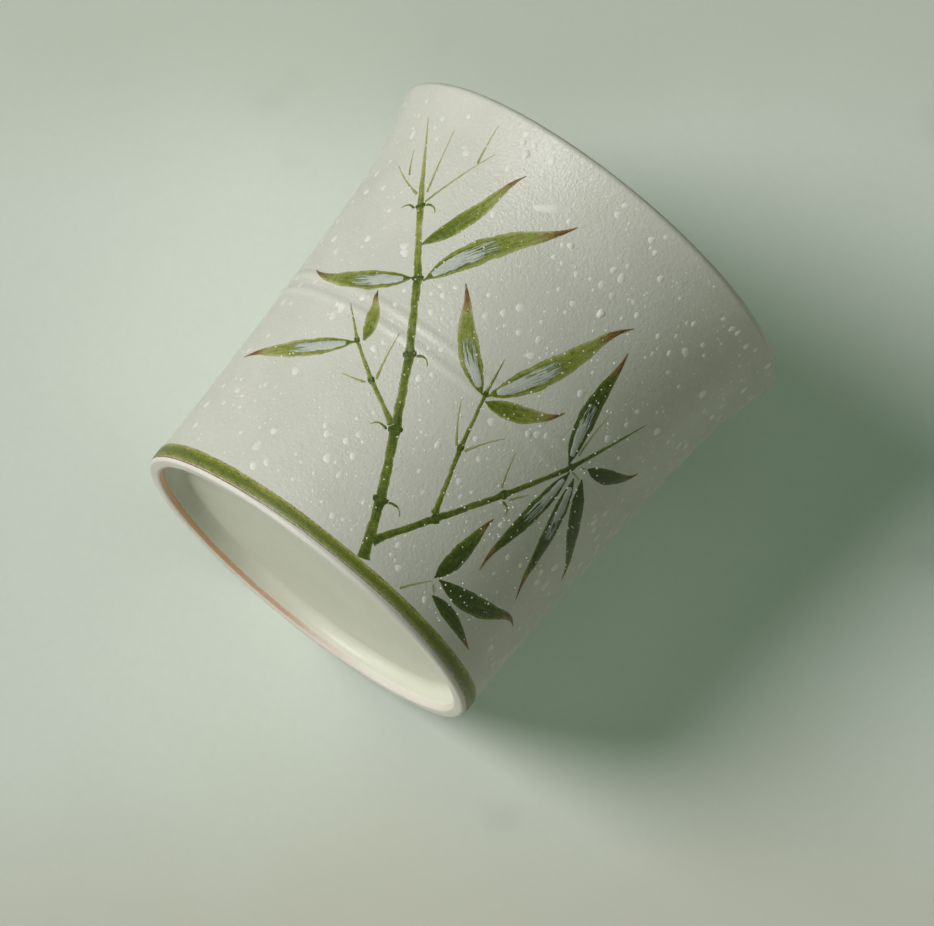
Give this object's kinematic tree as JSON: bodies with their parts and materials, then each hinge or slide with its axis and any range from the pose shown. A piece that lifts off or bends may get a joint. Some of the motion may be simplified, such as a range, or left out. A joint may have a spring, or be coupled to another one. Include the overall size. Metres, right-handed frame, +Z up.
{
  "type": "bamboo cup",
  "caption": "Small handleless porcelain tea cup with a flared lip, a double ridge round the waist, a green foot band and raised enamel bamboo on the wall.",
  "frame": {"origin": "centre of the foot ring's contact face, at the foot of the cup", "axes": "+Z up the cup's axis to the mouth, -Y towards the middle of the painted side, +X to the right of it"},
  "size_m": [0.069, 0.069, 0.068],
  "materials": {
    "porcelain": "bare fired porcelain, matte, smooth to the touch",
    "satin_glaze": "off-white satin glaze with a fine eggshell surface",
    "inner_glaze": "off-white glaze, a little glossier than the outside",
    "celadon_glaze": "pale celadon glaze, satin",
    "green_enamel": "raised overglaze enamel, brushed, leaf green",
    "dark_green_enamel": "raised overglaze enamel, dark green",
    "pale_green_enamel": "thin overglaze enamel, yellow-green",
    "leaf_enamel": "raised overglaze enamel, green with yellow-green edges",
    "brown_enamel": "overglaze enamel, brown-red",
    "iron_line": "brown flashed iron line, matte",
    "pale_blue_enamel": "pale blue-white enamel, glossy"
  },
  "bodies": {
    "root": {"cup_body": "porcelain", "outer_glaze": "satin_glaze", "inner_glaze": "inner_glaze", "base_glaze": "celadon_glaze", "foot_band": "green_enamel", "band_line": "brown_enamel", "iron_line": "iron_line", "main_culm": "green_enamel", "side_culm": "green_enamel", "upright_shoot": "green_enamel", "left_shoot": "green_enamel", "culm_joints": "dark_green_enamel", "joint_hooks": "dark_green_enamel", "twigs": "pale_green_enamel", "crown_leaves": "leaf_enamel", "middle_leaves": "leaf_enamel", "hanging_leaves": "leaf_enamel", "left_leaves": "leaf_enamel", "low_leaves": "leaf_enamel", "leaf_tips": "brown_enamel", "leaf_lights": "pale_blue_enamel"}
  },
  "joints": []
}
